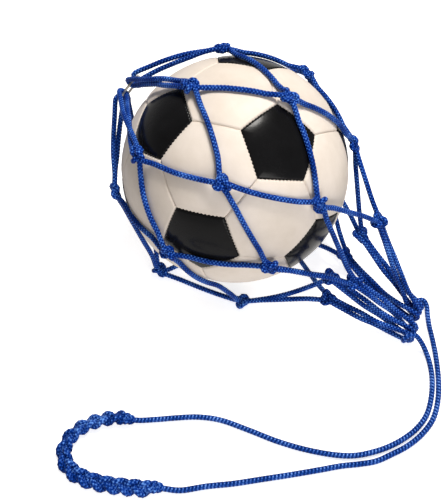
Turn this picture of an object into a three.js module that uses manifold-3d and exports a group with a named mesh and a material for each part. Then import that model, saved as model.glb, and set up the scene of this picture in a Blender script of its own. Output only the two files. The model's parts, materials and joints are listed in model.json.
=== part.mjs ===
// A knotted net bag holding one size 5 football, lying on a table.
// Millimetres, +Z up. The bag runs along +X: its start ring is at the back and high,
// its mouth is gathered on a drawcord at the front and low, and the two legs of the
// drawcord run round to a crocheted handle that lies beside the ball.

import * as THREE from "three";
import { mergeVertices } from "three/addons/utils/BufferGeometryUtils.js";
import Module from "manifold-3d";

const wasm = await Module();
wasm.setup();

// ---------------------------------------------------------------- driving sizes

const BALL_RADIUS = 110;            // size 5 football
const PANEL_THICKNESS = 4;          // cover and its foam backing
const PANEL_GAP = 0.3;              // seam between two panels
const BALL_TURN = [65, -46, -22];   // how the ball lies, degrees about X, Y, Z
const BLADDER_GAP = 1;              // between the cover and the bladder
const BLADDER_THICKNESS = 1.2;
const VALVE_RADIUS = 3.8;
const VALVE_FLANGE = 4.2;           // how far its flange stands out
const VALVE_CLEARANCE = 0.4;        // round it in the cover
const VALVE_SINK = 0.7;             // its face below the cover's

const CORD_DIAMETER = 5;
const KNOT_RADIUS = 7.5;
const CLEARANCE = 0.3;
const CORD_SIDES = 6;
const STEP = 22;                    // length of one straight facet of a net cord

const BAG_SLOPE = 26.8;             // degrees that the bag's axis falls towards the mouth
const RING_STANDOFF = 19;           // start ring behind the ball
const RING_RADIUS = 15;
const WIRE_DIAMETER = 2.4;

const SECTORS = 6;

const HANDLE_LOBE = [9.8, 6.4, 6.4];
const HANDLE_LOBES = 13;

const CORD_RADIUS = CORD_DIAMETER / 2;
const BLADDER_RADIUS = BALL_RADIUS - PANEL_THICKNESS - BLADDER_GAP;
const RING_AXIAL = -(BALL_RADIUS + RING_STANDOFF);
const LOOP_TURN = CORD_DIAMETER + 3 * CLEARANCE;     // of a mouth loop round the drawcord
const LOOP_PITCH = CORD_DIAMETER + 5 * CLEARANCE;    // between mouth loops on the drawcord
const MOUTH_HEIGHT = LOOP_TURN + CORD_RADIUS;        // the drawcord's, inside the mouth loops
const STRAND_OFFSET = CORD_RADIUS + 2 * CLEARANCE;   // from a knot's middle, where two pass
const BALL_HEIGHT = BALL_RADIUS + CORD_DIAMETER + CLEARANCE;
const WRAP_RADIUS = BALL_RADIUS + CORD_RADIUS + 3 * CLEARANCE;
const KNOT_ON_BALL = BALL_RADIUS + KNOT_RADIUS + 2 * CLEARANCE;
const FLOOR_CORD = CORD_RADIUS + 0.05;
const FLOOR_KNOT = KNOT_RADIUS + 0.1;

// ---------------------------------------------------------------- materials

const looks = {
  cord: new THREE.MeshStandardMaterial({ color: 0x1d48b8, roughness: 0.75, metalness: 0 }),
  wire: new THREE.MeshStandardMaterial({ color: 0xcfc8b4, roughness: 0.35, metalness: 1 }),
  black: new THREE.MeshStandardMaterial({ color: 0x17171a, roughness: 0.28, metalness: 0 }),
  white: new THREE.MeshStandardMaterial({ color: 0xe9e2da, roughness: 0.38, metalness: 0 }),
  rubber: new THREE.MeshStandardMaterial({ color: 0x2a2a2c, roughness: 0.8, metalness: 0 }),
};

const bag = new THREE.Group();

// ---------------------------------------------------------------- solids

function toSolid(geometry) {
  const bare = geometry.clone();
  bare.deleteAttribute("normal");
  bare.deleteAttribute("uv");
  const merged = mergeVertices(bare, 1e-4);
  return new wasm.Manifold(new wasm.Mesh({
    numProp: 3,
    vertProperties: new Float32Array(merged.attributes.position.array),
    triVerts: new Uint32Array(merged.index.array),
  }));
}

function toGeometry(solid) {
  const mesh = solid.getMesh();
  const geometry = new THREE.BufferGeometry();
  geometry.setAttribute("position", new THREE.BufferAttribute(mesh.vertProperties, 3));
  geometry.setIndex(new THREE.BufferAttribute(mesh.triVerts, 1));
  geometry.computeVertexNormals();
  return geometry;
}

function joined(solids) {
  return solids.reduce((whole, next) => whole.add(next));
}

function addNode(name, geometry, material, parent = bag) {
  const mesh = new THREE.Mesh(geometry, material);
  mesh.name = name;
  parent.add(mesh);
  return mesh;
}

// ---------------------------------------------------------------- places on the net

const centre = new THREE.Vector3(0, 0, BALL_HEIGHT);
const slope = THREE.MathUtils.degToRad(BAG_SLOPE);
const axis = new THREE.Vector3(Math.cos(slope), 0, -Math.sin(slope));
const topward = new THREE.Vector3(Math.sin(slope), 0, Math.cos(slope));
const sideward = new THREE.Vector3(0, -1, 0);
const upward = new THREE.Vector3(0, 0, 1);

function radialAt(azimuth) {
  const angle = THREE.MathUtils.degToRad(azimuth);
  return topward.clone().multiplyScalar(Math.cos(angle))
    .addScaledVector(sideward, Math.sin(angle));
}

function onAxis(axial, azimuth, radius) {
  return centre.clone().addScaledVector(axis, axial)
    .addScaledVector(radialAt(azimuth), radius);
}

function onBall(polar, azimuth, radius = KNOT_ON_BALL) {
  const angle = THREE.MathUtils.degToRad(polar);
  return onAxis(-radius * Math.cos(angle), azimuth, radius * Math.sin(angle));
}

const at = (x, y, z) => new THREE.Vector3(x, y, z);

// A knot lying on the table, beside the ball or against it.
function onTable(x, y) {
  const below = centre.z - FLOOR_KNOT;
  const nearest = Math.sqrt(Math.max(0, KNOT_ON_BALL ** 2 - below ** 2));
  const stretch = Math.max(1, nearest / Math.hypot(x, y));
  return at(x * stretch, y * stretch, FLOOR_KNOT);
}

// Knots in four rows, azimuths in degrees round the axis from the top towards -Y.
// Knot n of rows 2 and 4 lies between sectors n and n + 1.
const sectorAzimuths = [-36, 16, 68, 120, 180, 254];
const row1 = sectorAzimuths.map((azimuth) => onBall(48, azimuth));
const row2 = [
  onBall(88.5, -3), onBall(87.5, 47), onBall(87.5, 94),
  onTable(-51, -70), onBall(88, 222), onBall(89, 308),
];
const row3 = [
  onBall(130, 318), onBall(129.5, 26), onBall(129.5, 73),
  onTable(41, -67), onTable(34, 35), onBall(130, 260),
];
const row4 = [
  at(145, 14, 100), at(142, -32, 57), at(120, -34, 54),
  at(121, -38, 26), at(115, 24, 21), at(127, 29, 54),
];

// Each mouth loop runs from its row 4 knot past a point in the neck to the drawcord.
// The second passes over the third.
const overThird = 18 + 2 * CORD_DIAMETER;
const neckPoints = [
  at(180, 2, 38), at(182, -21, overThird), at(168, -29, 20),
  at(165, -35.5, 12), at(160, 0, 10), at(170, 12, 24),
];
const LOOPS_OUTER = [199, 0];
const LOOPS_INNER = [202, -26.5];
const onDrawcord = ([x, y], place) => at(x, y + place * LOOP_PITCH, MOUTH_HEIGHT);
const mouthPoints = [
  onDrawcord(LOOPS_OUTER, 0), onDrawcord(LOOPS_INNER, 1), onDrawcord(LOOPS_INNER, 0),
  onDrawcord(LOOPS_INNER, -1), onDrawcord(LOOPS_OUTER, -1), onDrawcord(LOOPS_OUTER, 1),
];

// ---------------------------------------------------------------- cords

// A path through given points, with one facet of the tube between each two of them.
class Route extends THREE.Curve {
  constructor(points) {
    super();
    this.points = points;
  }

  getPoint(t, target = new THREE.Vector3()) {
    const place = t * (this.points.length - 1);
    const index = Math.min(Math.floor(place), this.points.length - 2);
    return target.lerpVectors(this.points[index], this.points[index + 1], place - index);
  }

  getPointAt(t, target) {
    return this.getPoint(t, target);
  }

  getTangentAt(t, target = new THREE.Vector3()) {
    const last = this.points.length - 1;
    const index = Math.round(t * last);
    const before = this.points[Math.max(index - 1, 0)];
    const after = this.points[Math.min(index + 1, last)];
    const here = this.points[index];
    const arriving = here.clone().sub(before).normalize();
    const leaving = after.clone().sub(here).normalize();
    return target.copy(arriving).add(leaving).normalize();
  }
}

function tube(points, radius, sides = CORD_SIDES) {
  const corners = Array.from({ length: sides }, (_, i) => {
    const angle = (2 * Math.PI * (i + 0.5)) / sides;
    return new THREE.Vector2(radius * Math.cos(angle), radius * Math.sin(angle));
  });
  return toSolid(new THREE.ExtrudeGeometry(new THREE.Shape(corners), {
    steps: points.length - 1,
    bevelEnabled: false,
    extrudePath: new Route(points),
  }));
}

// Keeps a cord outside the ball and above the table.
function laidOver(point) {
  const kept = point.clone();
  kept.z = Math.max(kept.z, FLOOR_CORD);
  const outward = kept.clone().sub(centre);
  if (outward.length() < WRAP_RADIUS) {
    kept.copy(centre).addScaledVector(outward.normalize(), WRAP_RADIUS);
  }
  return kept;
}

function strand(from, to, sag = 0) {
  const count = Math.max(2, Math.round(from.distanceTo(to) / STEP));
  return Array.from({ length: count - 1 }, (_, i) => {
    const t = (i + 1) / count;
    const point = from.clone().lerp(to, t);
    point.z -= 4 * sag * t * (1 - t);
    return laidOver(point);
  });
}

// Three points that take a cord through a knot, a little to one side of its centre.
function throughKnot(knot, aside, along, offset) {
  return [-3.2, 0, 3.2].map((run) => knot.clone()
    .addScaledVector(aside, offset)
    .addScaledVector(along, run));
}

function aside(knotsBefore, knotsAfter) {
  return knotsAfter.clone().sub(knotsBefore).normalize();
}

function knotBody(place) {
  const body = new THREE.IcosahedronGeometry(KNOT_RADIUS, 1);
  body.translate(place.x, place.y, place.z);
  return toSolid(body);
}

const smooth = (t) => {
  const u = THREE.MathUtils.clamp(t, 0, 1);
  return u * u * (3 - 2 * u);
};

// Two strands side by side from a knot to a half turn round a wire or a cord.
function foldedLoop({ knot, bend, turnRadius, along, across, sideways, via }) {
  const path = via
    ? new THREE.QuadraticBezierCurve3(knot, via, bend)
    : new THREE.LineCurve3(knot, bend);
  const count = Math.round(knot.distanceTo(bend) / STEP) + 1;
  const runs = [1, -1].map((side) => Array.from({ length: count }, (_, i) => {
    const t = i / count;
    const turned = (smooth((t - 0.15) / 0.5) * Math.PI) / 2;
    const half = THREE.MathUtils.lerp(CORD_RADIUS + 0.25, turnRadius, smooth((t - 0.6) / 0.4));
    const point = path.getPoint(t)
      .addScaledVector(sideways, side * half * Math.cos(turned))
      .addScaledVector(across, side * half * Math.sin(turned));
    return i === 0 ? point : laidOver(point);
  }));
  const bendAngles = [90, 54, 18, -18, -54, -90];
  const turn = bendAngles.map((angle) => {
    const radians = THREE.MathUtils.degToRad(angle);
    return bend.clone()
      .addScaledVector(along, turnRadius * Math.cos(radians))
      .addScaledVector(across, turnRadius * Math.sin(radians));
  });
  return [...runs[0], ...turn, ...runs[1].reverse()];
}

// Start of the bag: each cord is folded over the metal ring and knotted in row 1.
function startLoop(sector) {
  const azimuth = sectorAzimuths[sector];
  const radial = radialAt(azimuth);
  const around = radialAt(azimuth + 90);
  const wire = onAxis(RING_AXIAL, azimuth, RING_RADIUS);
  const turnRadius = WIRE_DIAMETER / 2 + CORD_RADIUS + 2 * CLEARANCE;
  return foldedLoop({
    knot: row1[sector],
    bend: wire,
    turnRadius,
    along: radial.negate(),
    across: axis,
    sideways: around,
  });
}

// Mouth of the bag: each cord makes one loop that the drawcord passes through.
function mouthLoop(n) {
  const bend = mouthPoints[n];
  const along = bend.clone().sub(neckPoints[n]).setY(0).normalize();
  const across = new THREE.Vector3(-along.z, 0, along.x);
  return foldedLoop({
    knot: row4[n],
    bend,
    turnRadius: LOOP_TURN,
    along,
    across,
    sideways: sideward.clone().negate(),
    via: neckPoints[n],
  });
}

// The strand on the +azimuth side stays with its own knots of rows 2 and 4, and the
// strand on the other side passes through the knots of the cord before it.
function rightStrand(k) {
  const next = (k + 1) % SECTORS;
  const across2 = aside(row1[k], row1[next]);
  const across4 = aside(row3[k], row3[next]);
  return [
    row1[k],
    ...strand(row1[k], row2[k]),
    ...throughKnot(row2[k], across2, axis, -STRAND_OFFSET),
    ...strand(row2[k], row3[k], k === 3 ? 5 : 0),
    row3[k],
    ...strand(row3[k], row4[k]),
    row4[k].clone().addScaledVector(across4, 0.1 - STRAND_OFFSET),
  ];
}

function leftStrand(k, extra = 0) {
  const before = (k + SECTORS - 1) % SECTORS;
  const across2 = aside(row1[before], row1[k]);
  const across4 = aside(row3[before], row3[k]);
  const last = row4[before].clone().addScaledVector(across4, STRAND_OFFSET + CLEARANCE);
  const arriving = last.clone().sub(row3[k]).normalize();
  return [
    row1[k],
    ...strand(row1[k], row2[before]),
    ...throughKnot(row2[before], across2, axis, STRAND_OFFSET),
    ...strand(row2[before], row3[k], k === 4 ? 5 : 0),
    row3[k],
    ...strand(row3[k], row4[before]),
    last.addScaledVector(arriving, extra),
  ];
}

const netCords = Array.from({ length: SECTORS }, (_, k) => joined([
  tube(startLoop(k), CORD_RADIUS),
  tube(rightStrand(k), CORD_RADIUS),
  tube(leftStrand(k), CORD_RADIUS),
  tube(mouthLoop(k), CORD_RADIUS),
  ...[row1, row2, row3, row4].map((row) => knotBody(row[k])),
]));

netCords.forEach((cord, k) => {
  const passing = tube(leftStrand((k + 1) % SECTORS, 0.5), CORD_RADIUS + CLEARANCE);
  addNode(`net_cord_${k + 1}`, toGeometry(cord.subtract(passing)), looks.cord);
});

// ---------------------------------------------------------------- start ring

const ring = new THREE.TorusGeometry(RING_RADIUS, WIRE_DIAMETER / 2, 6, 20);
const ringMesh = addNode("start_ring", ring, looks.wire);
ringMesh.position.copy(centre.clone().addScaledVector(axis, RING_AXIAL));
ringMesh.quaternion.setFromUnitVectors(upward, axis);

// ---------------------------------------------------------------- drawcord and strap

// From the handle along the right leg, through the six mouth loops and back along
// the left leg: one cord.
// Points with no height lie on the table.
const rightLeg = [
  [70, -266, 4.5], [81, -261, 2.6], [99, -248], [119, -235], [139, -220.5], [159, -206],
  [179, -191], [194, -179.5], [207, -171], [219, -162], [229, -150], [239, -136],
  [247, -119], [251, -101], [249.5, -82], [244, -62], [235, -40], [226, -22],
  [217.5, -7, 3.2], [212, 4, 5],
];
const mouthTurnIn = [[208.5, 11.5, 7], [204, 15.4, 8.2], [200, 13.8, MOUTH_HEIGHT]];
const throughLoops = [
  [199, 9.5], [199, 0], [199, -9.5], [202, -16.5], [202, -26.5], [202, -36],
].map(([x, y]) => [x, y, MOUTH_HEIGHT]);
const mouthTurnOut = [
  [201.6, -39.6, 10], [201.4, -42, 13.6], [202.4, -42, 17.6], [205, -39.4, 20.4],
  [210.5, -35.5, 18.8], [217, -35, 11.5],
];
const leftLeg = [
  [223, -37.5, 5], [230, -46, 2.6], [237.4, -61], [242.8, -80], [244.6, -100],
  [240.8, -117], [233, -132.5], [223.5, -145.5], [212, -157], [200, -166],
  [186, -172.5], [162, -179.5], [136, -184], [109, -186], [81, -189], [62, -195.5],
  [46, -204.5], [30, -214.5, 2.6], [16, -223.5, 4.2],
];
const drawcordRoute = [
  ...rightLeg, ...mouthTurnIn, ...throughLoops, ...mouthTurnOut, ...leftLeg,
].map(([x, y, z = FLOOR_CORD]) => at(x, y, z));

addNode("drawcord", toGeometry(tube(drawcordRoute, CORD_RADIUS)), looks.cord);

// ---------------------------------------------------------------- crocheted handle

const handleLine = new THREE.CatmullRomCurve3([
  at(9, -227, 6.3), at(-1, -231, 6.3), at(-11, -238.5, 6.3), at(-20, -248, 6.3),
  at(-25.5, -259, 6.3), at(-26.5, -270, 6.3), at(-21.5, -281, 6.3), at(-10, -288, 6.3),
  at(4, -289, 6.3), at(18, -286.5, 6.3), at(31, -282.5, 6.3), at(43, -278, 6.3),
  at(54, -273.5, 6.3), at(63, -269, 6.3),
]);

function handleLobe(index) {
  const t = index / (HANDLE_LOBES - 1);
  const place = handleLine.getPointAt(t);
  const along = handleLine.getTangentAt(t);
  const outward = new THREE.Vector3(along.y, -along.x, 0);
  const isEnd = index === 0 || index === HANDLE_LOBES - 1;
  const side = index % 2 === 0 ? 1 : -1;
  const lobe = new THREE.IcosahedronGeometry(1, 1);
  if (isEnd) {
    lobe.scale(6.2, 6.2, 6.2);
  } else {
    lobe.scale(...HANDLE_LOBE);
    lobe.rotateZ(side * 0.55);
    lobe.rotateZ(Math.atan2(along.y, along.x));
    place.addScaledVector(outward, side * 1.8);
  }
  lobe.translate(place.x, place.y, place.z);
  return toSolid(lobe);
}

const lobes = Array.from({ length: HANDLE_LOBES }, (_, i) => handleLobe(i));
addNode("crocheted_handle", toGeometry(joined(lobes)), looks.cord);

// ---------------------------------------------------------------- football

const ball = new THREE.Group();
ball.position.copy(centre);
ball.rotation.set(...BALL_TURN.map(THREE.MathUtils.degToRad));
bag.add(ball);

// The twelve corners of an icosahedron are the middles of the black panels.
const golden = (1 + Math.sqrt(5)) / 2;
const blackMiddles = [];
for (const a of [1, -1]) {
  for (const b of [golden, -golden]) {
    blackMiddles.push(at(0, a, b), at(a, b, 0), at(b, 0, a));
  }
}
blackMiddles.forEach((middle) => middle.normalize());

const areNeighbours = (u, v) => u.dot(v) > 0.3 && u.dot(v) < 0.6;
const seamCorner = (u, v) => u.clone().multiplyScalar(2).add(v).normalize();

function inOrder(middle, corners) {
  const first = corners[0].clone().projectOnPlane(middle).normalize();
  const second = middle.clone().cross(first);
  const angle = (corner) => Math.atan2(corner.dot(second), corner.dot(first));
  return [...corners].sort((u, v) => angle(u) - angle(v));
}

const blackPanels = blackMiddles.map((middle) => ({
  middle,
  corners: inOrder(middle, blackMiddles
    .filter((other) => areNeighbours(middle, other))
    .map((other) => seamCorner(middle, other))),
}));

const whitePanels = [];
blackMiddles.forEach((u, i) => blackMiddles.forEach((v, j) => blackMiddles.forEach((w, k) => {
  if (i < j && j < k && areNeighbours(u, v) && areNeighbours(v, w) && areNeighbours(u, w)) {
    const middle = u.clone().add(v).add(w).normalize();
    const pairs = [[u, v], [v, u], [v, w], [w, v], [w, u], [u, w]];
    whitePanels.push({
      middle,
      corners: inOrder(middle, pairs.map(([p, q]) => seamCorner(p, q))),
    });
  }
})));

// A curved panel: middle, an inner ring and an outer ring of points, on both faces.
function panelGeometry({ middle, corners }) {
  const n = corners.length;
  const shrink = 1 - PANEL_GAP / (BALL_RADIUS * corners[0].angleTo(middle));
  const between = (u, v, t) => u.clone().lerp(v, t).normalize();
  const edge = corners.map((corner) => between(middle, corner, shrink));
  const halfway = edge.map((corner, i) => between(corner, edge[(i + 1) % n], 0.5));
  const inner = edge.map((corner) => between(middle, corner, 0.5));
  const directions = [middle.clone(), ...inner, ...edge.flatMap((e, i) => [e, halfway[i]])];
  const count = directions.length;
  const positions = [BALL_RADIUS, BALL_RADIUS - PANEL_THICKNESS]
    .flatMap((radius) => directions.flatMap((d) => d.clone().multiplyScalar(radius).toArray()));
  const faces = [];
  for (let i = 0; i < n; i += 1) {
    const j = (i + 1) % n;
    const innerHere = 1 + i;
    const innerNext = 1 + j;
    const edgeHere = 1 + n + 2 * i;
    const edgeHalf = edgeHere + 1;
    const edgeNext = 1 + n + 2 * j;
    faces.push([0, innerHere, innerNext]);
    faces.push([innerHere, edgeHere, edgeHalf]);
    faces.push([innerHere, edgeHalf, innerNext]);
    faces.push([innerNext, edgeHalf, edgeNext]);
  }
  const index = faces.flatMap(([a, b, c]) => [a, b, c, count + a, count + c, count + b]);
  for (let i = 0; i < 2 * n; i += 1) {
    const here = 1 + n + i;
    const next = 1 + n + ((i + 1) % (2 * n));
    index.push(here, count + here, count + next, here, count + next, next);
  }
  const geometry = new THREE.BufferGeometry();
  geometry.setAttribute("position", new THREE.Float32BufferAttribute(positions, 3));
  geometry.setIndex(index);
  geometry.computeVertexNormals();
  return geometry;
}

// The valve sits in the white panel that faces away from the handle.
const valveIndex = whitePanels
  .map(({ middle }) => middle.clone().applyEuler(ball.rotation).y)
  .reduce((best, y, i, all) => (y > all[best] ? i : best), 0);
const valveDirection = whitePanels[valveIndex].middle;
const valveTurn = new THREE.Quaternion().setFromUnitVectors(at(0, 1, 0), valveDirection);

function turned(profile, segments) {
  const points = profile.map(([r, y]) => new THREE.Vector2(r, y));
  const geometry = new THREE.LatheGeometry(points, segments);
  geometry.applyQuaternion(valveTurn);
  return geometry;
}

const twoDigits = (n) => String(n).padStart(2, "0");
blackPanels.forEach((panel, i) => {
  addNode(`black_panel_${twoDigits(i + 1)}`, panelGeometry(panel), looks.black, ball);
});
whitePanels.forEach((panel, i) => {
  let geometry = panelGeometry(panel);
  if (i === valveIndex) {
    const radius = VALVE_RADIUS + VALVE_CLEARANCE;
    const from = BLADDER_RADIUS - BLADDER_GAP;
    const to = BALL_RADIUS + PANEL_THICKNESS;
    const hole = turned([[0, from], [radius, from], [radius, to], [0, to]], 12);
    geometry = toGeometry(toSolid(geometry).subtract(toSolid(hole)));
  }
  addNode(`white_panel_${twoDigits(i + 1)}`, geometry, looks.white, ball);
});

// The bladder is a thin hollow ball, open where the valve passes through it.
const arc = (radius, from, to, count) => Array.from({ length: count + 1 }, (_, i) => {
  const angle = THREE.MathUtils.degToRad(from + ((to - from) * i) / count);
  return [radius * Math.sin(angle), radius * Math.cos(angle)];
});
const bladderInner = BLADDER_RADIUS - BLADDER_THICKNESS;
const bladderHole = THREE.MathUtils.radToDeg(
  Math.asin((VALVE_RADIUS + 2 * CLEARANCE) / BLADDER_RADIUS),
);
const bladderProfile = [
  ...arc(BLADDER_RADIUS, 180, bladderHole, 9),
  ...arc(bladderInner, bladderHole, 180, 9),
].map(([r, y]) => [Math.abs(r) < 1e-6 ? 0 : r, y]);
addNode("bladder", turned(bladderProfile, 18), looks.rubber, ball);

const flangeRadius = VALVE_RADIUS + VALVE_FLANGE;
const flangeTop = bladderInner - 4 * CLEARANCE;
const flangeFoot = flangeTop - 1.6;
const valveFoot = flangeFoot - 2;
const valveFace = BALL_RADIUS - VALVE_SINK;
addNode("valve", turned([
  [0, valveFoot], [VALVE_RADIUS, valveFoot], [VALVE_RADIUS, flangeFoot],
  [flangeRadius, flangeFoot], [flangeRadius, flangeTop], [VALVE_RADIUS, flangeTop],
  [VALVE_RADIUS, valveFace], [1, valveFace], [1, flangeTop + 1.4], [0, flangeTop + 1.4],
], 12), looks.rubber, ball);

// ---------------------------------------------------------------- natural origin

// The origin is the middle of the foot of everything but the drawcord.
bag.updateMatrixWorld(true);
const box = new THREE.Box3();
bag.traverse((object) => {
  if (object.isMesh && object.name !== "drawcord") {
    box.expandByObject(object, true);
  }
});
bag.position.set(-(box.min.x + box.max.x) / 2, -(box.min.y + box.max.y) / 2, -box.min.z);

export default bag;
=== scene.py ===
"""A knotted net ball bag round a size 5 football, lying on a white table.

The bag's lengths are millimetres in the model's own layout, with the ball's foot near
the origin; to_frame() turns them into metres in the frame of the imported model. The
camera, the table and the lights are in metres in that frame.
"""

import itertools
import json
import math

import bpy
import numpy as np
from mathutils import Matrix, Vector


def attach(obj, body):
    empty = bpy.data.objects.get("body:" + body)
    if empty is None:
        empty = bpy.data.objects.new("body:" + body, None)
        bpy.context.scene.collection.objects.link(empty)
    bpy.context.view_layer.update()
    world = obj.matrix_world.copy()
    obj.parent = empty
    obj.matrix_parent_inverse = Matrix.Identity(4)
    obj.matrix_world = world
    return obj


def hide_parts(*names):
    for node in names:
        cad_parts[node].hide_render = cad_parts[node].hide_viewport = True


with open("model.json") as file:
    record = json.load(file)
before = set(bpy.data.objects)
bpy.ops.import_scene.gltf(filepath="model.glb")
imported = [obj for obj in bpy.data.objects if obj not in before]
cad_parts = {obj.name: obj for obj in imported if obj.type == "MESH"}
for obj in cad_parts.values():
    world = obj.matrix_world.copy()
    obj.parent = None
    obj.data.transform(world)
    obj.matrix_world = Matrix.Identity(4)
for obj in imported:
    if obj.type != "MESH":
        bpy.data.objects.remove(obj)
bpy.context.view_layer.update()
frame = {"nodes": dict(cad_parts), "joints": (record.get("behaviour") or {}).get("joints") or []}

# ------------------------------------------------------------------ sizes

BALL_RADIUS = 110.0
PANEL_THICKNESS = 4.0
BALL_TURN = (65, -46, -22)
VALVE_RADIUS = 3.8
CORD_RADIUS = 2.5
CLEARANCE = 0.3
BALL_HEIGHT = BALL_RADIUS + 2 * CORD_RADIUS + CLEARANCE
CORD_ON_BALL = BALL_RADIUS + CORD_RADIUS + CLEARANCE
KNOT_ON_BALL = BALL_RADIUS + 7.4        # the middle of a knot that lies on the ball
FLOOR_KNOT = 7.0                        # and of one that lies on the table

BAG_SLOPE = 26.8
RING_AXIAL = -(BALL_RADIUS + 19)        # along the bag's axis, from the ball's middle
RING_RADIUS = 15.0
WIRE_RADIUS = 1.2
SECTORS = 6
LOOP_TURN = 2 * CORD_RADIUS + 3 * CLEARANCE
LOOP_PITCH = 2 * CORD_RADIUS + 5 * CLEARANCE
MOUTH_HEIGHT = LOOP_TURN + CORD_RADIUS
STRAND_OFFSET = CORD_RADIUS + 2 * CLEARANCE

RIB = 1.6           # half a stitch of the braid, along the cord
BRAID_SIDES = 16    # corners of a cord's section: four stitches, four corners each
RIB_HEIGHT = 0.3
RIB_SINK = 0.3      # how far the ribs are let into the cord, against their height
END_BULGE = 0.35    # how far a cut end stands out, against the radius

ball_joint = next(j for j in frame["joints"] if j["name"] == "ball_turn")
CENTRE = np.array([0.0, 0.0, BALL_HEIGHT])
ORIGIN = np.array(ball_joint["pos_m"]) * 1000 - CENTRE


def to_frame(points):
    return (np.asarray(points, float) + ORIGIN) / 1000


def unit(v):
    return v / np.linalg.norm(v)


def point(*values):
    return np.array(values, float)


# ------------------------------------------------------------------ camera

CAMERA_DISTANCE = 0.8
CAMERA_AZIMUTH = math.radians(27)
CAMERA_ELEVATION = math.radians(45)
CAMERA_LENS = 59.04
CAMERA_SHIFT = (-0.026, -0.162)

camera_data = bpy.data.cameras.new("camera")
camera_data.lens = CAMERA_LENS
camera_data.shift_x = CAMERA_SHIFT[0]
camera_data.shift_y = CAMERA_SHIFT[1]
camera = bpy.data.objects.new("camera", camera_data)
bpy.context.scene.collection.objects.link(camera)
bpy.context.scene.camera = camera
away = Vector((
    math.sin(CAMERA_AZIMUTH) * math.cos(CAMERA_ELEVATION),
    -math.cos(CAMERA_AZIMUTH) * math.cos(CAMERA_ELEVATION),
    math.sin(CAMERA_ELEVATION),
))
camera.location = Vector(to_frame(CENTRE)) + away * CAMERA_DISTANCE
camera.rotation_euler = (-away).to_track_quat("-Z", "Y").to_euler()

# ------------------------------------------------------------------ materials


def new_material(name):
    material = bpy.data.materials.new(name)
    material.use_nodes = True
    tree = material.node_tree
    shader = tree.nodes["Principled BSDF"]
    return material, tree, shader


def add(tree, kind, inputs=None, **settings):
    node = tree.nodes.new(kind)
    for key, value in settings.items():
        setattr(node, key, value)
    for key, value in (inputs or {}).items():
        if isinstance(value, bpy.types.NodeSocket):
            tree.links.new(value, node.inputs[key])
        else:
            node.inputs[key].default_value = value
    return node


def maths(tree, operation, first, second=0.0, third=0.0):
    values = {0: first, 1: second, 2: third}
    return add(tree, "ShaderNodeMath", values, operation=operation).outputs[0]


def ramp(tree, factor, stops):
    node = add(tree, "ShaderNodeValToRGB", {"Fac": factor})
    elements = node.color_ramp.elements
    while len(elements) < len(stops):
        elements.new(0.5)
    for element, (place, colour) in zip(elements, stops):
        element.position = place
        element.color = (*colour, 1)
    return node.outputs["Color"]


def noise(tree, vector, scale, detail, roughness=0.5):
    node = add(tree, "ShaderNodeTexNoise", {
        "Vector": vector, "Scale": scale, "Detail": detail, "Roughness": roughness,
    })
    return node.outputs["Fac"]


def place_of(tree):
    return add(tree, "ShaderNodeTexCoord").outputs["Object"]


def bumped(tree, shader, height, strength, distance):
    node = add(tree, "ShaderNodeBump", {
        "Height": height, "Strength": strength, "Distance": distance,
    })
    tree.links.new(node.outputs["Normal"], shader.inputs["Normal"])


YARN_TURN = 19.0        # about three yarns to a stitch
BAR_LEAN = 0.25         # how far a slanted bar runs along the cord for each stitch round it
MIDDLE_HEIGHT = 7.5     # mm above the table, where the painted shade by height changes nothing


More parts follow.
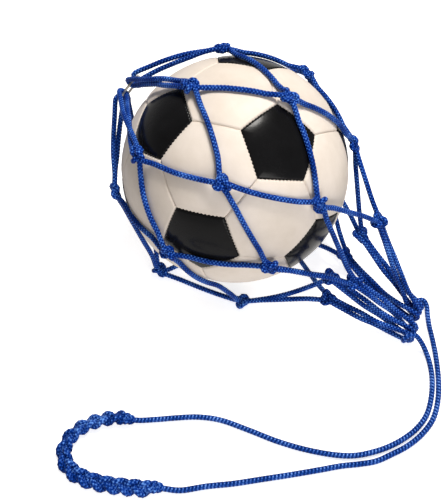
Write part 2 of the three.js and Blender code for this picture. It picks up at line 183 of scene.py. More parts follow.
def braided(name, groove_shade, body, light, contrast, slanted, height_shade=0.0):
    """Braided polyester cord: stitches in staggered rows, and partly in slanted bars.
    Its colour runs from painted shade in the hollows between stitches to a painted highlight on
    their tops.
    The last argument paints shade by height: what lies high is made brighter than what lies low."""
    material, tree, shader = new_material(name)
    uv = add(tree, "ShaderNodeUVMap", uv_map="braid").outputs["UV"]
    split = add(tree, "ShaderNodeSeparateXYZ", {"Vector": uv})
    round_it = maths(tree, "COSINE", maths(tree, "MULTIPLY", split.outputs["X"], math.tau))
    along = maths(tree, "COSINE", maths(tree, "MULTIPLY", split.outputs["Y"], math.tau))
    stitch = maths(tree, "MULTIPLY", round_it, along)
    lean = maths(tree, "MULTIPLY_ADD", split.outputs["X"], BAR_LEAN, split.outputs["Y"])
    bars = maths(tree, "COSINE", maths(tree, "MULTIPLY", lean, math.tau))
    stitch = maths(tree, "MULTIPLY", stitch, 1 - slanted)
    stitch = maths(tree, "MULTIPLY_ADD", bars, slanted, stitch)
    level = maths(tree, "MULTIPLY_ADD", stitch, 0.5 * contrast, 0.5)
    diagonal = maths(tree, "ADD", split.outputs["X"], split.outputs["Y"])
    yarns = maths(tree, "SINE", maths(tree, "MULTIPLY", diagonal, YARN_TURN))
    place = place_of(tree)
    patches = noise(tree, place, 55.0, 3.0)
    fuzz = noise(tree, place, 900.0, 2.0)
    high = add(tree, "ShaderNodeSeparateXYZ", {"Vector": place}).outputs["Z"]
    # painted shade by height: lower parts of the cord are darkened and higher parts brightened
    level = maths(tree, "ADD", level, maths(
        tree, "MULTIPLY_ADD", high, 1000 * height_shade, -MIDDLE_HEIGHT * height_shade,
    ))
    shade = maths(tree, "ADD", level, maths(tree, "MULTIPLY", yarns, 0.10))
    shade = maths(tree, "ADD", shade, maths(tree, "MULTIPLY_ADD", patches, 0.7, -0.35))
    shade = maths(tree, "ADD", shade, maths(tree, "MULTIPLY_ADD", fuzz, 0.5, -0.25))
    # colour runs from painted shade in the stitch hollows, through the cord's own blue, to a
    # painted highlight on the stitch tops; the noise adds random tone
    colour = ramp(tree, shade, [(0.22, groove_shade), (0.6, body), (1.0, light)])
    tree.links.new(colour, shader.inputs["Base Color"])
    rough = maths(tree, "MULTIPLY_ADD", fuzz, 0.3, 0.36)
    tree.links.new(rough, shader.inputs["Roughness"])
    shader.inputs["Specular IOR Level"].default_value = 0.22
    shader.inputs["Specular Tint"].default_value = (0.12, 0.42, 1.0, 1)
    shader.inputs["Sheen Weight"].default_value = 0.02
    shader.inputs["Sheen Roughness"].default_value = 0.4
    shader.inputs["Sheen Tint"].default_value = (0.3, 0.5, 1.0, 1)
    height = maths(tree, "ADD", level, maths(tree, "MULTIPLY", yarns, 0.16))
    bumped(tree, shader, height, 0.8, 0.0004)
    return material


def cover(name, clean, marked, rough, gloss, coat, grain):
    """Glossy synthetic leather: pebbled grain, faint scuffs and slight wear."""
    material, tree, shader = new_material(name)
    place = place_of(tree)
    marks = noise(tree, place, 24.0, 6.0, 0.62)
    cloud = noise(tree, place, 9.0, 2.0)
    worn = maths(tree, "MULTIPLY_ADD", cloud, 0.45, maths(tree, "MULTIPLY", marks, 0.75))
    colour = ramp(tree, worn, [(0.42, clean), (0.78, marked)])
    tree.links.new(colour, shader.inputs["Base Color"])
    roughness = maths(tree, "MULTIPLY_ADD", marks, 0.22, rough - 0.11)
    tree.links.new(roughness, shader.inputs["Roughness"])
    shader.inputs["Specular IOR Level"].default_value = gloss
    shader.inputs["Coat Weight"].default_value = coat
    shader.inputs["Coat Roughness"].default_value = 0.14
    cells = add(tree, "ShaderNodeTexVoronoi", {"Vector": place, "Scale": 950.0})
    fine = noise(tree, place, 1800.0, 2.0)
    height = maths(tree, "MULTIPLY_ADD", fine, 0.4, cells.outputs["Distance"])
    bumped(tree, shader, height, grain, 0.0002)
    return material


def metal(name):
    """Plated wire with a little tarnish."""
    material, tree, shader = new_material(name)
    place = place_of(tree)
    tarnish = noise(tree, place, 160.0, 4.0)
    tree.links.new(
        ramp(tree, tarnish, [(0.3, (0.78, 0.74, 0.66)), (0.7, (0.52, 0.47, 0.39))]),
        shader.inputs["Base Color"],
    )
    shader.inputs["Metallic"].default_value = 1.0
    tree.links.new(
        maths(tree, "MULTIPLY_ADD", tarnish, 0.3, 0.15), shader.inputs["Roughness"],
    )
    bumped(tree, shader, noise(tree, place, 2400.0, 2.0), 0.15, 0.0001)
    return material


def rubber(name, dark, dusty):
    """Matt moulded rubber with a dusty bloom."""
    material, tree, shader = new_material(name)
    place = place_of(tree)
    bloom = noise(tree, place, 70.0, 4.0)
    tree.links.new(
        ramp(tree, bloom, [(0.35, dark), (0.75, dusty)]), shader.inputs["Base Color"],
    )
    tree.links.new(
        maths(tree, "MULTIPLY_ADD", bloom, 0.2, 0.6), shader.inputs["Roughness"],
    )
    bumped(tree, shader, noise(tree, place, 1500.0, 2.0), 0.2, 0.0002)
    return material


# each cord's colours: painted shade for the stitch hollows, its own blue, and a painted
# highlight for the stitch tops; the handle's chain also gets painted shade by height
net_blue = braided(
    "net_blue", (0.0001, 0.005, 0.075), (0.0008, 0.034, 0.31), (0.17, 0.42, 1.0), 0.75, 0.2,
)
strap_blue = braided(
    "strap_blue", (0.0004, 0.010, 0.10), (0.004, 0.050, 0.33), (0.22, 0.42, 0.95), 0.75, 0.6,
)
chain_blue = braided(
    "chain_blue", (0.0001, 0.005, 0.065), (0.0010, 0.036, 0.30), (0.18, 0.42, 1.0), 0.6, 0.3,
    0.03,
)
white_cover = cover(
    "white_cover", (0.79, 0.71, 0.64), (0.66, 0.58, 0.50), 0.50, 0.25, 0.03, 0.20,
)
black_cover = cover(
    "black_cover", (0.0035, 0.0034, 0.0036), (0.008, 0.008, 0.009), 0.25, 0.07, 0.16, 0.12,
)
wire_metal = metal("wire_metal")
dark_rubber = rubber("dark_rubber", (0.018, 0.018, 0.019), (0.045, 0.044, 0.042))

# ------------------------------------------------------------------ meshes


class Shape:
    """Vertices, faces and braid coordinates, gathered until they become one object."""

    def __init__(self):
        self.vertices = []
        self.faces = []
        self.braid = []
        self.count = 0

    def add_points(self, points):
        first = self.count
        self.vertices.append(np.asarray(points, float))
        self.count += len(points)
        return first

    def add_faces(self, faces, braid=None):
        self.faces.extend(faces)
        self.braid.extend(braid or [((0.0, 0.0),) * len(face) for face in faces])

    def build(self, name, material):
        mesh = bpy.data.meshes.new(name)
        points = to_frame(np.concatenate(self.vertices))
        mesh.from_pydata(points.tolist(), [], self.faces)
        layer = mesh.uv_layers.new(name="braid")
        flat = np.array([c for corners in self.braid for uv in corners for c in uv], np.float32)
        layer.data.foreach_set("uv", flat)
        mesh.polygons.foreach_set("use_smooth", [True] * len(mesh.polygons))
        mesh.materials.append(material)
        mesh.update()
        obj = bpy.data.objects.new(name, mesh)
        bpy.context.scene.collection.objects.link(obj)
        return obj


NEAREST = 0.4       # a point nearer than this to the one before is left out
DENSE = 0.5         # about how far apart a curve is worked out before it is resampled


def curve_through(points, spacing):
    """A smooth line through points (centripetal Catmull-Rom), resampled evenly."""
    kept = [points[0]]
    for p in points[1:]:
        if np.linalg.norm(p - kept[-1]) > NEAREST:
            kept.append(p)
    chain = [2 * kept[0] - kept[1], *kept, 2 * kept[-1] - kept[-2]]
    dense = []
    for p0, p1, p2, p3 in zip(chain, chain[1:], chain[2:], chain[3:]):
        t1 = np.linalg.norm(p1 - p0) ** 0.5
        t2 = t1 + np.linalg.norm(p2 - p1) ** 0.5
        t3 = t2 + np.linalg.norm(p3 - p2) ** 0.5
        steps = max(3, int(np.linalg.norm(p2 - p1) / DENSE))
        t = np.linspace(t1, t2, steps, endpoint=False)[:, None]
        a1 = (t1 - t) / t1 * p0 + t / t1 * p1
        a2 = (t2 - t) / (t2 - t1) * p1 + (t - t1) / (t2 - t1) * p2
        a3 = (t3 - t) / (t3 - t2) * p2 + (t - t2) / (t3 - t2) * p3
        b1 = (t2 - t) / t2 * a1 + t / t2 * a2
        b2 = (t3 - t) / (t3 - t1) * a2 + (t - t1) / (t3 - t1) * a3
        dense.append((t2 - t) / (t2 - t1) * b1 + (t - t1) / (t2 - t1) * b2)
    return evenly(np.concatenate([*dense, kept[-1:]]), spacing)


def evenly(line, spacing):
    """The same line in an even number of equal steps, each about the spacing."""
    gaps = np.linalg.norm(np.diff(line, axis=0), axis=1)
    reach = np.concatenate([[0], np.cumsum(gaps)])
    count = max(2, 2 * round(reach[-1] / spacing / 2))
    wanted = np.linspace(0, reach[-1], count + 1)
    return np.stack([np.interp(wanted, reach, line[:, i]) for i in range(3)], axis=1)


def section_frames(line, closed=False):
    """Two directions across a line at each point, carried along without twisting."""
    if closed:
        ahead = np.roll(line, -1, axis=0) - np.roll(line, 1, axis=0)
    else:
        ahead = np.gradient(line, axis=0)
    ahead /= np.linalg.norm(ahead, axis=1)[:, None]
    start = point(0, 0, 1) if abs(ahead[0][2]) < 0.9 else point(1, 0, 0)
    across = unit(start - ahead[0] * (start @ ahead[0]))
    firsts = []
    for direction in ahead:
        across = unit(across - direction * (across @ direction))
        firsts.append(across)
    firsts = np.array(firsts)
    return firsts, np.cross(ahead, firsts)


def add_cord(shape, line, radius=CORD_RADIUS, closed=False):
    """A braided cord: its section has four bulges, and each ring's bulges lie over
    the last ring's hollows, which makes staggered rows of small stitches."""
    line = line[:-1] if closed else line
    firsts, seconds = section_frames(line, closed)
    rings = len(line)
    sides = BRAID_SIDES
    angles = np.arange(sides) * math.tau / sides
    wave = np.cos(np.arange(sides) * math.pi / 2) * (-1.0) ** np.arange(rings)[:, None]
    reach = radius + RIB_HEIGHT * (wave - RIB_SINK)
    points = (
        line[:, None, :]
        + (reach * np.cos(angles))[..., None] * firsts[:, None, :]
        + (reach * np.sin(angles))[..., None] * seconds[:, None, :]
    )
    first = shape.add_points(points.reshape(-1, 3))
    faces, braid = [], []
    for i in range(rings if closed else rings - 1):
        here, there = first + i * sides, first + (i + 1) % rings * sides
        for j in range(sides):
            k = (j + 1) % sides
            faces.append((here + j, here + k, there + k, there + j))
            u, v = j / 4, i / 2
            braid.append(((u, v), (u + 0.25, v), (u + 0.25, v + 0.5), (u, v + 0.5)))
    if not closed:
        for i, direction in ((0, line[0] - line[1]), (rings - 1, line[-1] - line[-2])):
            tip = shape.add_points([line[i] + unit(direction) * radius * END_BULGE])
            here = first + i * sides
            for j in range(sides):
                k = (j + 1) % sides
                u, v = j / 4, i / 2
                faces.append((here + k, here + j, tip) if i == 0 else (here + j, here + k, tip))
                braid.append(((u, v), (u + 0.25, v), (u, v + 0.5)))
    shape.add_faces(faces, braid)


def joined_rows(here, there, count):
    """Faces between two rows of points that each run once round, given their first points."""
    return [
        (here + i, there + i, there + (i + 1) % count, here + (i + 1) % count)
        for i in range(count)
    ]


# ------------------------------------------------------------------ strap cords

# From the handle along the right leg to the mouth loops, through them, and back
# along the left leg. Points with no height lie on the table. Both ends lie inside the
# handle's end knots, on the line that the handle lifts about, so that they stay in it.
RIGHT_LEG = [
    (63.4, -268.8, 6.3), (70, -266, 4.5), (81, -261, 2.6), (99, -248), (119, -235),
    (139, -220.5), (159, -206), (179, -191), (194, -179.5), (207, -171), (219, -162),
    (229, -150), (239, -136), (247, -119), (251, -101), (249.5, -82), (244, -62),
    (235, -40), (226, -22), (217.5, -7, 3.2), (212, 4, 5),
]
THROUGH_MOUTH = [
    (208.5, 11.5, 7), (204, 15.4, 8.2), (200, 13.8, 8.4), (199, 9.5, 8.4), (199, 0, 8.4),
    (199, -9.5, 8.4), (202, -16.5, 8.4), (202, -26.5, 8.4), (202, -36, 8.4),
    (201.6, -39.6, 10), (201.4, -42, 13.6), (202.4, -42, 17.6), (205, -39.4, 20.4),
    (210.5, -35.5, 18.8), (217, -35, 11.5),
]
LEFT_LEG = [
    (223, -37.5, 5), (230, -46, 2.6), (237.4, -61), (242.8, -80), (244.6, -100),
    (240.8, -117), (233, -132.5), (223.5, -145.5), (212, -157), (200, -166),
    (186, -172.5), (162, -179.5), (136, -184), (109, -186), (81, -189), (62, -195.5),
    (46, -204.5), (30, -214.5, 2.6), (16, -223.5, 4.2), (9.4, -226.8, 6.3),
]
FLOOR_CORD = CORD_RADIUS + 0.05     # the middle of a cord that lies on the table


def with_height(points):
    return [point(*p) if len(p) == 3 else point(*p, FLOOR_CORD) for p in points]


def length_of(line):
    return float(np.linalg.norm(np.diff(line, axis=0), axis=1).sum())


def even_index_near(line, place):
    """The point of a line nearest to a place, moved to the start of a whole stitch."""
    return int(np.argmin(np.linalg.norm(line - place, axis=1))) // 2 * 2


def strap_piece(name, line):
    shape = Shape()
    add_cord(shape, line)
    piece = shape.build(name, strap_blue)
    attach(piece, "net")
    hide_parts("drawcord")
    return piece


def declare_leg(name, line):
    """A free leg of the drawcord, from the mouth of the bag to the handle."""
    piece = strap_piece(name, line)


route = with_height(RIGHT_LEG + THROUGH_MOUTH + LEFT_LEG)
drawcord = curve_through(route, RIB)
mouth_start = even_index_near(drawcord, route[len(RIGHT_LEG) - 1])
mouth_end = even_index_near(drawcord, route[len(RIGHT_LEG) + len(THROUGH_MOUTH)])
declare_leg("drawcord_right_leg", drawcord[:mouth_start + 1][::-1])
declare_leg("drawcord_left_leg", drawcord[mouth_end:])
strap_piece("drawcord_through_mouth", drawcord[mouth_start:mouth_end + 1])
print("the whole drawcord is", round(length_of(drawcord) / 1000, 4), "m long")

# ------------------------------------------------------------------ net: places

SLOPE = math.radians(BAG_SLOPE)
AXIS = point(math.cos(SLOPE), 0, -math.sin(SLOPE))
TOPWARD = point(math.sin(SLOPE), 0, math.cos(SLOPE))
SIDEWARD = point(0, -1, 0)


def radial_at(azimuth):
    angle = math.radians(azimuth)
    return TOPWARD * math.cos(angle) + SIDEWARD * math.sin(angle)


def on_axis(axial, azimuth, radius):
    return CENTRE + AXIS * axial + radial_at(azimuth) * radius


def on_ball(polar, azimuth):
    angle = math.radians(polar)
    return on_axis(-KNOT_ON_BALL * math.cos(angle), azimuth, KNOT_ON_BALL * math.sin(angle))


def on_table(x, y):
    return point(x, y, FLOOR_KNOT)


SECTOR_AZIMUTHS = [-36, 16, 68, 120, 180, 254]
ROW_1 = [on_ball(48, azimuth) for azimuth in SECTOR_AZIMUTHS]
ROW_2 = [
    on_ball(88.5, -3), on_ball(87.5, 47), on_ball(87.5, 94),
    on_table(-51, -70), on_ball(88, 222), on_ball(89, 308),
]
ROW_3 = [
    on_ball(130, 318), on_ball(129.5, 26), on_ball(129.5, 73),
    on_table(41, -67), on_table(34, 35), on_ball(130, 260),
]
ROW_4 = [
    point(145, 14, 100), point(142, -32, 57), point(120, -34, 54),
    point(121, -38, 26), point(115, 24, 21), point(127, 29, 54),
]
NECK_POINTS = [
    point(180, 2, 38), point(182, -21, 28), point(168, -29, 20),
    point(165, -35.5, 12), point(160, 0, 10), point(170, 12, 24),
]
MOUTH_POINTS = [
    point(199, 0, MOUTH_HEIGHT), point(202, -26.5 + LOOP_PITCH, MOUTH_HEIGHT),
    point(202, -26.5, MOUTH_HEIGHT), point(202, -26.5 - LOOP_PITCH, MOUTH_HEIGHT),
    point(199, -LOOP_PITCH, MOUTH_HEIGHT), point(199, LOOP_PITCH, MOUTH_HEIGHT),
]

# ------------------------------------------------------------------ net: cords

STRAND_STEP = 22        # between the places that a strand is led through
KNOT_RUN = 3.2          # how far a strand stays level in a knot, each way
KNOT_ASIDE = STRAND_OFFSET - 0.6        # a strand from the middle of a second-row knot
LAST_KNOT_ASIDE = 2.6                   # the same in a knot of the last row
UNDER_SAG = 5           # how far a strand to a knot on the table hangs down
LONG_SAG = 9            # and the long strand from such a knot up to the neck
PAIR_GAP = 0.1          # between the two strands of a folded loop, each side
PAIR_BOW = 0.2          # how much wider a slack loop's pair is in the middle
TWIST_START = 0.15      # the share of a folded loop where its pair starts to twist
TWIST_LENGTH = 0.5
SPREAD_START = 0.6      # the share where the pair starts to spread round what it holds
TURN_ANGLES = (90, 60, 30, 0, -30, -60, -90)
RING_LOOP_CLEAR = 0.7   # between a start loop and the wire


def laid_over(place):
    """Keeps a cord outside the ball and above the table."""
    kept = place.copy()
    kept[2] = max(kept[2], FLOOR_CORD)
    outward = kept - CENTRE
    distance = np.linalg.norm(outward)
    if distance < CORD_ON_BALL:
        kept = CENTRE + outward / distance * CORD_ON_BALL
    return kept


def strand(start, end, sag=0.0, bow=0.0):
    """Places along a strand between two knots; sag lowers its middle, and bow moves
    it aside, along the ball."""
    aside = unit(np.cross(start - CENTRE, end - start))
    count = max(2, round(np.linalg.norm(end - start) / STRAND_STEP))
    places = []
    for i in range(1, count):
        t = i / count
        place = start + (end - start) * t
        place[2] -= 4 * sag * t * (1 - t)
        places.append(laid_over(place + aside * 4 * bow * t * (1 - t)))
    return places


def through_knot(knot, aside, along, offset):
    return [knot + aside * offset + along * run for run in (-KNOT_RUN, 0, KNOT_RUN)]


def smooth_step(t):
    u = min(max(t, 0.0), 1.0)
    return u * u * (3 - 2 * u)


def folded_loop(knot, bend, turn_radius, along, across, sideways, via=None, slack=0.0):
    """Two strands side by side from a knot to a half turn round a wire or a cord."""
    count = round(np.linalg.norm(bend - knot) / STRAND_STEP) + 1

    def on_path(t):
        if via is None:
            return knot + (bend - knot) * t
        return (1 - t) ** 2 * knot + 2 * t * (1 - t) * via + t * t * bend

    runs = []
    for side in (1, -1):
        run = []
        for i in range(count):
            t = i / count
            turned = smooth_step((t - TWIST_START) / TWIST_LENGTH) * math.pi / 2
            spread = smooth_step((t - SPREAD_START) / (1 - SPREAD_START))
            near = CORD_RADIUS + PAIR_GAP + slack * PAIR_BOW * math.sin(math.pi * t)
            half = near + (turn_radius - near) * spread
            place = on_path(t) + side * half * (
                sideways * math.cos(turned) + across * math.sin(turned)
            )
            place = place + unit(place - CENTRE) * slack * math.sin(math.pi * t) ** 0.8
            run.append(place if i == 0 else laid_over(place))
        runs.append(run)
    turn = [
        bend + turn_radius * (
            along * math.cos(math.radians(a)) + across * math.sin(math.radians(a))
        )
        for a in TURN_ANGLES
    ]
    return [*runs[0], *turn, *runs[1][::-1]]


LOOP_SLACK = [4.0, 3.0, 2.5, 2.0, 1.0, 2.0]     # how far each start loop bows out


def start_loop(k):
    azimuth = SECTOR_AZIMUTHS[k]
    return folded_loop(
        ROW_1[k], on_axis(RING_AXIAL, azimuth, RING_RADIUS),
        WIRE_RADIUS + CORD_RADIUS + RING_LOOP_CLEAR,
        -radial_at(azimuth), AXIS, radial_at(azimuth + 90), slack=LOOP_SLACK[k],
    )


def mouth_loop(n):
    bend = MOUTH_POINTS[n]
    along = bend - NECK_POINTS[n]
    along[1] = 0
    along = unit(along)
    across = point(-along[2], 0, along[0])
    return folded_loop(
        ROW_4[n], bend, LOOP_TURN - CLEARANCE, along, across, -SIDEWARD, NECK_POINTS[n],
    )


RIGHT_BOWS = [1.5, 5.5, -3.0, 2.0, -2.0, 2.5]   # how far a strand lies off straight
LEFT_BOWS = [-2.0, -1.5, -3.5, 2.0, 2.5, -2.0]
SECOND_BOWS = [0.0, -2.0, 1.5, 0.0, -1.5, 2.0]


def right_strand(k):
    """A cord's way from its first knot to its knot in the last row."""
    following = (k + 1) % SECTORS
    across_2 = unit(ROW_1[following] - ROW_1[k])
    across_4 = unit(ROW_3[following] - ROW_3[k])
    return [
        *strand(ROW_1[k], ROW_2[k], bow=RIGHT_BOWS[k]),
        *through_knot(ROW_2[k], across_2, AXIS, -KNOT_ASIDE),
        *strand(ROW_2[k], ROW_3[k], UNDER_SAG if k == 3 else 0, SECOND_BOWS[k]),
        ROW_3[k],
        *strand(ROW_3[k], ROW_4[k]),
        ROW_4[k] - across_4 * LAST_KNOT_ASIDE,
    ]


def left_strand(k):
    """The same cord's other way, which ends in the knot of the cord before it."""
    before = (k - 1) % SECTORS
    across_2 = unit(ROW_1[k] - ROW_1[before])
    across_4 = unit(ROW_3[k] - ROW_3[before])
    return [
        *strand(ROW_1[k], ROW_2[before], bow=LEFT_BOWS[k]),
        *through_knot(ROW_2[before], across_2, AXIS, KNOT_ASIDE),
        *strand(ROW_2[before], ROW_3[k], UNDER_SAG if k == 4 else 0),
        ROW_3[k],
        *strand(ROW_3[k], ROW_4[before], LONG_SAG if k == 3 else 0),
        ROW_4[before] + across_4 * LAST_KNOT_ASIDE,
    ]


def settled(line):
    """Pushes a sampled cord out of the ball and up from the table."""
    outward = line - CENTRE
    distance = np.linalg.norm(outward, axis=1)[:, None]
    line = CENTRE + outward / distance * np.maximum(distance, CORD_ON_BALL)
    line[:, 2] = np.maximum(line[:, 2], FLOOR_CORD)
    return line


TREFOIL = 2.3           # size of a knot
TREFOIL_DEPTH = 2.6
TREFOIL_LENGTH = 1.04   # a knot is a little longer than it is wide
TREFOIL_WIDTH = 0.94
TREFOIL_POINTS = 120
KNOT_CORD = 2.4         # a cord is pulled thinner inside a knot
BESIDE_BALL = 12        # a knot no farther than this from the ball lies against it
NECK_OUTWARD = (0.35, -0.5, 0.8)        # the way that the knots in the neck face


def tied_knot(shape, place, along, outward, turn, size):
    """The look of a tight overhand knot: a closed threefold loop, over and under itself."""
    across = unit(np.cross(outward, along))
    along = np.cross(across, outward)
    t = np.linspace(0, math.tau, TREFOIL_POINTS, endpoint=False)
    x = np.sin(t) + 2 * np.sin(2 * t)
    y = np.cos(t) - 2 * np.cos(2 * t)
    z = -np.sin(3 * t)
    c, s = math.cos(turn), math.sin(turn)
    a = (x * c - y * s) * TREFOIL * size * TREFOIL_LENGTH
    b = (x * s + y * c) * TREFOIL * size * TREFOIL_WIDTH
    line = (
        place + a[:, None] * along + b[:, None] * across
        + (z * TREFOIL_DEPTH * size)[:, None] * outward
    )
    line = evenly(np.concatenate([line, line[:1]]), RIB)
    add_cord(shape, line, KNOT_CORD, closed=True)


def outward_at(place):
    """Away from what a knot lies against: the ball, or the table."""
    from_ball = place - CENTRE
    if np.linalg.norm(from_ball) < BALL_RADIUS + BESIDE_BALL:
        return unit(from_ball)
    if place[2] < 2 * FLOOR_KNOT:
        return point(0, 0, 1)
    return unit(point(*NECK_OUTWARD))


def net_cord(k):
    """One cord of the net, folded over the ring, with its four knots and its mouth loop.
    Each knot is turned and sized a little unlike the others."""
    shape = Shape()
    run = [*left_strand(k)[::-1], *start_loop(k), *right_strand(k)]
    add_cord(shape, settled(curve_through(run, RIB)))
    add_cord(shape, settled(curve_through(mouth_loop(k), RIB)))
    for row, knots in enumerate((ROW_1, ROW_2, ROW_3, ROW_4)):
        place = knots[k]
        along = AXIS if row < 3 else unit(MOUTH_POINTS[k] - place)
        turn = 0.5 + 1.9 * k + 1.3 * row
        tied_knot(shape, place, along, outward_at(place), turn, 1 + 0.04 * math.sin(5 * turn))
    name = f"net_cord_{k + 1}"
    piece = shape.build(f"braided_{name}", net_blue)
    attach(piece, "net")
    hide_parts(name)


for sector in range(SECTORS):
    net_cord(sector)

# ------------------------------------------------------------------ start ring

WIRE_SIDES = 12
WIRE_STEPS = 96
WELD_WIDTH = 0.09       # half the weld's length, as an angle at the ring's middle
WELD_SWELL = 0.12       # how much thicker the wire is there


def make_ring():
    """Bent wire, with the small swelling of the weld that closes it."""
    turns = np.arange(WIRE_STEPS) * math.tau / WIRE_STEPS
    line = np.array([on_axis(RING_AXIAL, math.degrees(a), RING_RADIUS) for a in turns])
    weld = np.exp(-((np.minimum(turns, math.tau - turns) / WELD_WIDTH) ** 2))
    reach = (WIRE_RADIUS * (1 + WELD_SWELL * weld))[:, None, None]
    firsts, seconds = section_frames(line, closed=True)
    angles = np.arange(WIRE_SIDES) * math.tau / WIRE_SIDES
    points = line[:, None, :] + reach * (
        np.cos(angles)[None, :, None] * firsts[:, None, :]
        + np.sin(angles)[None, :, None] * seconds[:, None, :]
    )
    faces = []
    for i in range(WIRE_STEPS):
        here = i * WIRE_SIDES
        there = (i + 1) % WIRE_STEPS * WIRE_SIDES
        for j in range(WIRE_SIDES):
            k = (j + 1) % WIRE_SIDES
            faces.append((here + j, here + k, there + k, there + j))
    shape = Shape()
    shape.add_points(points.reshape(-1, 3))
    shape.add_faces(faces)
    piece = shape.build("wire_ring", wire_metal)
    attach(piece, "ring")
    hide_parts("start_ring")


make_ring()

# ------------------------------------------------------------------ handle

HANDLE_LINE = [
    (9, -227), (-1, -231), (-11, -238.5), (-20, -248), (-25.5, -259), (-26.5, -270),
    (-21.5, -281), (-10, -288), (4, -289), (18, -286.5), (31, -282.5), (43, -278),
    (54, -273.5), (63, -269),
]
PLAIT_PERIOD = 35.5     # in which there are three bumps on each side
PLAIT_WIDTH = 3.6
PLAIT_BULGE = 2.6       # the outer side's bumps stand out further
PLAIT_DEPTH = 2.7
PLAIT_CORD = 2.5
END_KNOT = 0.6          # against a net knot; small enough to turn clear of the table
CORE_ASIDE = 1.5        # the core lies under the outer bumps
CORE_DROP = 1.0
CHAIN_CORE = 3.2        # the cord the strands are worked over
CORE_SHORT = 4          # steps of the spine that the core stops before each end
HANDLE_TILT = math.radians(22)
HANDLE_HEIGHT = 6.4
SPINE_STEP = 1.0
END_FADE = 7            # how far from an end the chain draws in
END_LEAST = 0.15        # its width there, as a share
END_KNOT_TURN = 0.4
END_KNOT_RUN = 6        # steps of the spine that an end knot is lined up with


def make_handle():
    """The handle: three strands plaited over a core into a thick, bumpy chain."""
    spine = curve_through([point(x, y, HANDLE_HEIGHT) for x, y in HANDLE_LINE], SPINE_STEP)
    ahead = np.gradient(spine, axis=0)
    ahead /= np.linalg.norm(ahead, axis=1)[:, None]
    up = point(0, 0, 1)
    outer = np.cross(ahead, up)
    reach = np.linspace(0, length_of(spine), len(spine))
    end_fade = np.clip(np.minimum(reach, reach[-1] - reach) / END_FADE, END_LEAST, 1)
    c, s = math.cos(HANDLE_TILT), math.sin(HANDLE_TILT)
    shape = Shape()
    for n in range(3):
        turn = math.tau * (reach / PLAIT_PERIOD + n / 3)
        side = PLAIT_WIDTH * np.sin(turn) + PLAIT_BULGE * np.maximum(np.sin(turn), 0) ** 3
        side *= end_fade
        rise = PLAIT_DEPTH * np.sin(2 * turn) * end_fade
        line = (
            spine
            + (side * c + rise * s)[:, None] * outer
            + (rise * c - side * s)[:, None] * up
        )
        line[:, 2] = np.maximum(line[:, 2], PLAIT_CORD)
        add_cord(shape, evenly(line, RIB), PLAIT_CORD)
    core = spine + outer * CORE_ASIDE - up * CORE_DROP
    add_cord(shape, evenly(core[CORE_SHORT:-CORE_SHORT], RIB), CHAIN_CORE)
    for way in (spine, spine[::-1]):
        tied_knot(shape, way[0], unit(way[END_KNOT_RUN] - way[0]), up, END_KNOT_TURN, END_KNOT)
    piece = shape.build("crocheted_chain", chain_blue)
    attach(piece, "handle")
    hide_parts("crocheted_handle")


make_handle()

# ------------------------------------------------------------------ football


def turned_by(degrees):
    """The matrix that turns about Z, then Y, then X."""
    (cx, sx), (cy, sy), (cz, sz) = (
        (math.cos(math.radians(d)), math.sin(math.radians(d))) for d in degrees
    )
    about_x = np.array([[1, 0, 0], [0, cx, -sx], [0, sx, cx]])
    about_y = np.array([[cy, 0, sy], [0, 1, 0], [-sy, 0, cy]])
    about_z = np.array([[cz, -sz, 0], [sz, cz, 0], [0, 0, 1]])
    return about_x @ about_y @ about_z


BALL_FRAME = turned_by(BALL_TURN)
GOLDEN = (1 + math.sqrt(5)) / 2
black_middles = []      # the corners of an icosahedron
for a in (1, -1):
    for b in (GOLDEN, -GOLDEN):
        black_middles += [unit(point(0, a, b)), unit(point(a, b, 0)), unit(point(b, 0, a))]


def are_neighbours(u, v):
    """True for two black panels' middles that are 63.4 degrees apart, not 0, 117 or 180."""
    return 0.3 < u @ v < 0.6


def seam_corner(u, v):
    """Where three panels meet: a third of the way from one black middle to the next."""
    return unit(2 * u + v)


def in_order(middle, corners):
    """A panel's corners, sorted round its middle."""
    first = unit(corners[0] - middle * (corners[0] @ middle))
    second = np.cross(middle, first)
    return sorted(corners, key=lambda corner: math.atan2(corner @ second, corner @ first))


black_panels = [
    (middle, in_order(middle, [
        seam_corner(middle, other) for other in black_middles if are_neighbours(middle, other)
    ]))
    for middle in black_middles
]
white_panels = []
for trio in itertools.combinations(black_middles, 3):
    if all(are_neighbours(u, v) for u, v in itertools.combinations(trio, 2)):
        middle = unit(trio[0] + trio[1] + trio[2])
        white_panels.append((middle, in_order(
            middle, [seam_corner(u, v) for u, v in itertools.permutations(trio, 2)],
        )))
# The valve is in the white panel that faces most towards +Y.
valve_index = max(
    range(len(white_panels)), key=lambda i: (BALL_FRAME @ white_panels[i][0])[1],
)

EDGE_POINTS = 52          # along one edge of a panel
TEETH = 13                # stitches along one edge
TOOTH = 0.42              # how far a stitch pulls the seam line
TOOTH_FADE = 8            # stitches fade out over one part in this many at an edge's ends
TOOTH_REACH = 2.2         # how far into a panel the pull is felt
SEAM_GAP = 0.2            # each side of the seam line
SEAM_DEPTH = 1.15
SEAM_WIDTH = 0.8
PUFF = 0.45               # the padding under a panel thins out towards its edge
PUFF_WIDTH = 6.0
CROWN = 0.05              # how far a panel's middle point stands out
BACK_RADIUS = BALL_RADIUS - PANEL_THICKNESS
VALVE_CLEAR = 0.4         # between the valve and the edge of its hole
VALVE_DIP = 0.25          # how far the edge of the hole sinks
MIDDLE_TO_EDGE = math.radians(18.7)     # from a black panel's middle to just past an edge
# Where the rows of a panel's points lie, from near its middle to its seam, which is 1.
SHARES = (0.22, 0.42, 0.58, 0.7, 0.78, 0.84, 0.885, 0.92, 0.95, 0.97, 0.985, 0.995, 1.0)


def is_black_edge(start, end):
    """True where a panel's edge is shared with a black panel, given its corners."""
    middle = unit(start + end)
    return max(middle @ black for black in black_middles) > math.cos(MIDDLE_TO_EDGE)


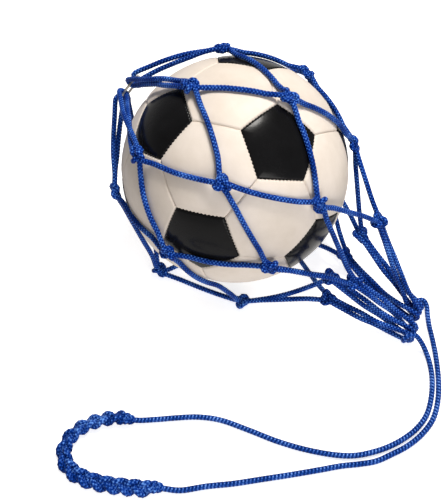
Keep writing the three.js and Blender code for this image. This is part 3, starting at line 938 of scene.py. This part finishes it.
def panel_rim(corners, is_black):
    """Directions round a panel's edge, and how far out each is pulled from the seam line."""
    directions = []
    shifts = []
    for corner, following in zip(corners, corners[1:] + corners[:1]):
        toothed = is_black or is_black_edge(corner, following)
        for e in range(EDGE_POINTS):
            t = e / EDGE_POINTS
            wave = abs(((t * TEETH) % 1.0) - 0.5) * 4 - 1
            fade = min(1.0, TOOTH_FADE * t, TOOTH_FADE * (1 - t))
            shift = TOOTH * wave * fade * (1 if is_black else -1) if toothed else 0.0
            directions.append(unit(corner + (following - corner) * t))
            shifts.append(shift - SEAM_GAP)
    return np.array(directions), np.array(shifts)


def panel_rows(middle, corners, is_black, has_valve):
    """Rows of points from a panel's middle to its seam, then down the seam and in again
    along its back. The valve's panel has a hole in its middle."""
    directions, shifts = panel_rim(corners, is_black)
    apothem = BALL_RADIUS * math.acos(middle @ unit(corners[0] + corners[1]))
    rows = []
    for share in SHARES:
        d = (1 - share) * apothem
        height = BALL_RADIUS - SEAM_DEPTH * math.exp(-((d / SEAM_WIDTH) ** 2))
        height += PUFF * (1 - math.exp(-((d / PUFF_WIDTH) ** 2))) - PUFF
        pulled = shifts * math.exp(-((d / TOOTH_REACH) ** 2)) / apothem
        mix = middle + (directions - middle) * (share + pulled)[:, None]
        mix /= np.linalg.norm(mix, axis=1)[:, None]
        rows.append(mix * height)
    for row in (rows[-1], rows[0]):
        rows.append(row * (BACK_RADIUS / np.linalg.norm(row[0])))
    if has_valve:
        about = np.array([unit(d - middle * (d @ middle)) for d in directions])
        hole = about * (VALVE_RADIUS + VALVE_CLEAR)
        rows.insert(0, middle * (BALL_RADIUS - VALVE_DIP) + hole)
        rows.append(middle * BACK_RADIUS + hole)
    return rows


def make_panel(name, middle, corners, is_black, has_valve=False):
    """One padded panel, with its edge toothed where black and white are stitched."""
    rows = panel_rows(middle, corners, is_black, has_valve)
    count = len(rows[0])
    shape = Shape()
    shape.add_points(np.concatenate([row @ BALL_FRAME.T + CENTRE for row in rows]))
    faces = []
    for r in range(len(rows) - 1):
        faces += joined_rows(r * count, (r + 1) * count, count)
    last = (len(rows) - 1) * count
    if has_valve:
        faces += joined_rows(last, 0, count)
    else:
        top = shape.add_points([BALL_FRAME @ (middle * (BALL_RADIUS + CROWN)) + CENTRE])
        foot = shape.add_points([BALL_FRAME @ (middle * BACK_RADIUS) + CENTRE])
        for i in range(count):
            k = (i + 1) % count
            faces.append((top, i, k))
            faces.append((foot, last + k, last + i))
    shape.add_faces(faces)
    piece = shape.build(f"stitched_{name}", black_cover if is_black else white_cover)
    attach(piece, "ball")
    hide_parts(name)


for i, (middle, corners) in enumerate(black_panels):
    make_panel(f"black_panel_{i + 1:02d}", middle, corners, True)
for i, (middle, corners) in enumerate(white_panels):
    make_panel(f"white_panel_{i + 1:02d}", middle, corners, False, i == valve_index)

VALVE_SIDES = 48
VALVE_PROFILE = [       # radius, and distance from the ball's middle
    (0.04, 104.0), (1.0, 104.0), (1.0, 109.1), (1.25, 109.28), (3.4, 109.3), (3.7, 109.1),
    (3.8, 108.8), (3.8, 102.6), (7.6, 102.6), (7.9, 102.45), (8.0, 102.2), (8.0, 101.4),
    (7.8, 101.1), (7.5, 101.0), (3.8, 101.0), (3.8, 99.4), (3.6, 99.1), (0.04, 99.0),
]


def make_valve():
    """The moulded rubber plug the pump's needle goes in through."""
    middle = BALL_FRAME @ white_panels[valve_index][0]
    first = unit(np.cross(middle, point(0, 0, 1)))
    second = np.cross(middle, first)
    angles = np.arange(VALVE_SIDES) * math.tau / VALVE_SIDES
    around = np.cos(angles)[:, None] * first + np.sin(angles)[:, None] * second
    shape = Shape()
    for radius, height in VALVE_PROFILE:
        shape.add_points(CENTRE + middle * height + around * radius)
    faces = []
    for i in range(len(VALVE_PROFILE)):
        following = (i + 1) % len(VALVE_PROFILE)
        faces += joined_rows(i * VALVE_SIDES, following * VALVE_SIDES, VALVE_SIDES)
    shape.add_faces(faces)
    piece = shape.build("moulded_valve", dark_rubber)
    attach(piece, "ball")
    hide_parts("valve")


make_valve()
bladder = frame["nodes"]["bladder"]
bladder.data.materials.clear()
bladder.data.materials.append(dark_rubber)

# ------------------------------------------------------------------ table and light

TABLE_HALF = 1.5
TABLE_CORNERS = ((-1, -1), (1, -1), (1, 1), (-1, 1))
TABLE_GLOW = 0.74       # keeps the table white in the bag's own shade

table_mesh = bpy.data.meshes.new("table")
table_mesh.from_pydata(
    [(x * TABLE_HALF, y * TABLE_HALF, 0) for x, y in TABLE_CORNERS], [], [(0, 1, 2, 3)],
)
table = bpy.data.objects.new("table", table_mesh)
bpy.context.scene.collection.objects.link(table)
table_material, _, table_shader = new_material("table_white")
table_shader.inputs["Base Color"].default_value = (0.8, 0.8, 0.8, 1)
table_shader.inputs["Roughness"].default_value = 0.9
table_shader.inputs["Specular IOR Level"].default_value = 0.0
table_shader.inputs["Emission Color"].default_value = (1, 1, 1, 1)
table_shader.inputs["Emission Strength"].default_value = TABLE_GLOW
table_mesh.materials.append(table_material)
table.visible_diffuse = False
table.visible_glossy = False


def area_light(name, place, aim, size, power, colour):
    data = bpy.data.lights.new(name, "AREA")
    data.shape = "DISK"
    data.size = size
    data.energy = power
    data.color = colour
    light = bpy.data.objects.new(name, data)
    light.location = place
    light.rotation_euler = (Vector(aim) - Vector(place)).to_track_quat("-Z", "Y").to_euler()
    bpy.context.scene.collection.objects.link(light)


area_light(
    "key", place=(0.05, 0.40, 1.5), aim=(0, 0.05, 0.1), size=0.45, power=22.5,
    colour=(1.0, 0.965, 0.91),
)
area_light(
    "fill", place=(0.95, -0.75, 0.42), aim=(0.03, -0.02, 0.06), size=0.9, power=9,
    colour=(1.0, 0.98, 0.95),
)

world = bpy.data.worlds.new("studio")
world.use_nodes = True
world_tree = world.node_tree
facing = add(world_tree, "ShaderNodeTexCoord").outputs["Generated"]
upward = add(world_tree, "ShaderNodeSeparateXYZ", {"Vector": facing}).outputs["Z"]
glow = ramp(
    world_tree, maths(world_tree, "MULTIPLY_ADD", upward, 0.5, 0.5),
    [(0.35, (0.95, 0.92, 0.89)), (0.6, (0.19, 0.19, 0.195))],
)
world_tree.links.new(glow, world_tree.nodes["Background"].inputs["Color"])
bpy.context.scene.world = world
bpy.context.scene.view_settings.view_transform = "Standard"
